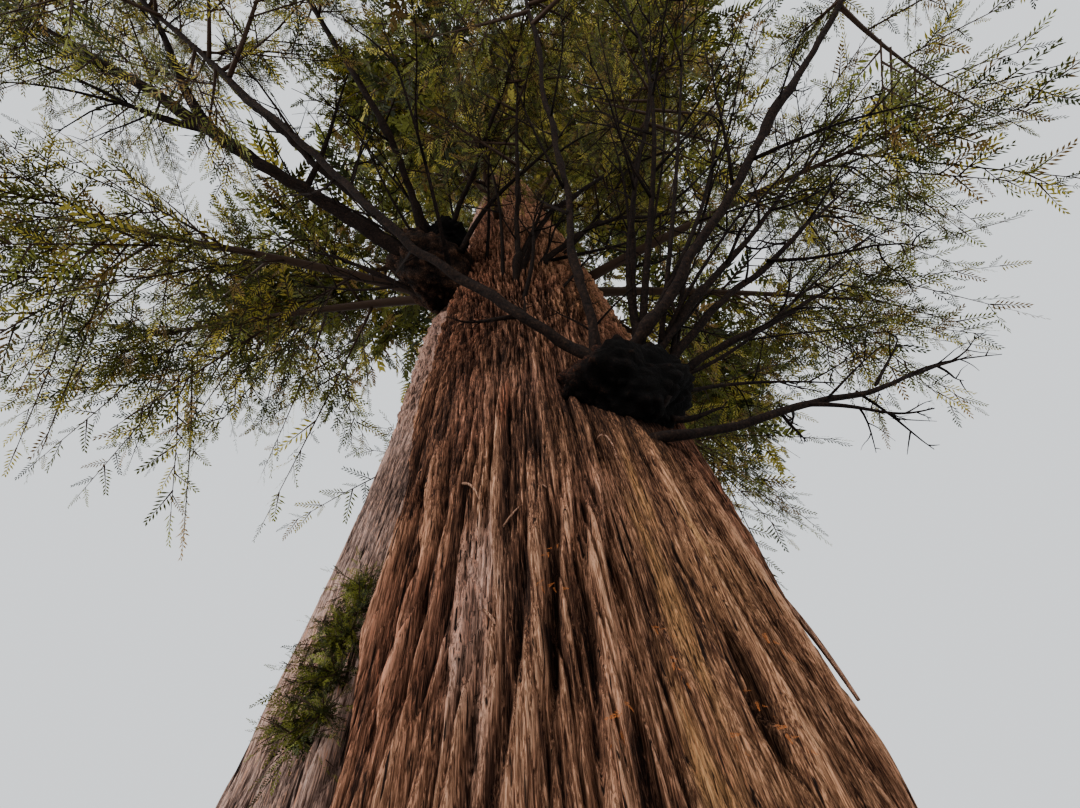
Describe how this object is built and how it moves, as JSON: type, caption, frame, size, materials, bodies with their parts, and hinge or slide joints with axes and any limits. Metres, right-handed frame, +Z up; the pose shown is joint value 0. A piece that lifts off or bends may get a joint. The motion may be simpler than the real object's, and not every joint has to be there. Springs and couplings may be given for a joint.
{
  "type": "redwood tree",
  "caption": "Tall old redwood, rooted in the ground: flared, furrowed bole, burls that carry bare boughs, narrow crown of drooping needle sprays.",
  "frame": {"origin": "middle of the flat cut under the trunk, at ground level", "axes": "+Z up the trunk; -Y towards the viewer of the picture; +X to the right of that view"},
  "size_m": [12.7458, 12.54, 40],
  "materials": {
    "trunk_bark": "fibrous red-brown bark in long ridges, matt",
    "burl_bark": "rough dark bark, matt",
    "bough_bark": "thin dark brown bark, matt",
    "foliage": "olive green needles, slightly waxy"
  },
  "bodies": {
    "root": {"back_foliage_1": "foliage", "back_foliage_2": "foliage", "back_foliage_3": "foliage", "crossing_bough": "bough_bark", "crossing_bough_foliage": "foliage", "crown_foliage_01": "foliage", "crown_foliage_02": "foliage", "crown_foliage_03": "foliage", "crown_foliage_04": "foliage", "crown_foliage_05": "foliage", "crown_foliage_06": "foliage", "crown_foliage_07": "foliage", "crown_foliage_08": "foliage", "crown_foliage_09": "foliage", "crown_foliage_10": "foliage", "crown_foliage_11": "foliage", "crown_foliage_12": "foliage", "crown_foliage_13": "foliage", "crown_foliage_14": "foliage", "crown_foliage_15": "foliage", "crown_foliage_16": "foliage", "crown_foliage_17": "foliage", "crown_foliage_18": "foliage", "crown_foliage_19": "foliage", "crown_foliage_20": "foliage", "crown_top_foliage": "foliage", "dead_bough_1": "bough_bark", "dead_bough_2": "bough_bark", "dead_bough_3": "bough_bark", "dead_bough_4": "bough_bark", "front_bough_1": "bough_bark", "front_bough_1_foliage": "foliage", "front_bough_2": "bough_bark", "front_bough_2_foliage": "foliage", "front_bough_3": "bough_bark", "front_bough_3_foliage": "foliage", "left_bough": "bough_bark", "left_bough_foliage": "foliage", "left_burl": "burl_bark", "left_inner_bough": "bough_bark", "left_inner_bough_foliage": "foliage", "left_rising_bough": "bough_bark", "left_rising_bough_foliage": "foliage", "left_upright_bough": "bough_bark", "left_upright_bough_foliage": "foliage", "long_right_bough": "bough_bark", "long_right_bough_foliage": "foliage", "low_right_bough": "bough_bark", "overhead_bough": "bough_bark", "overhead_bough_foliage": "foliage", "right_burl": "burl_bark", "side_foliage_1": "foliage", "side_foliage_2": "foliage", "side_foliage_3": "foliage", "side_foliage_4": "foliage", "trunk": "trunk_bark", "upright_bough": "bough_bark", "upright_bough_foliage": "foliage"}
  },
  "joints": []
}
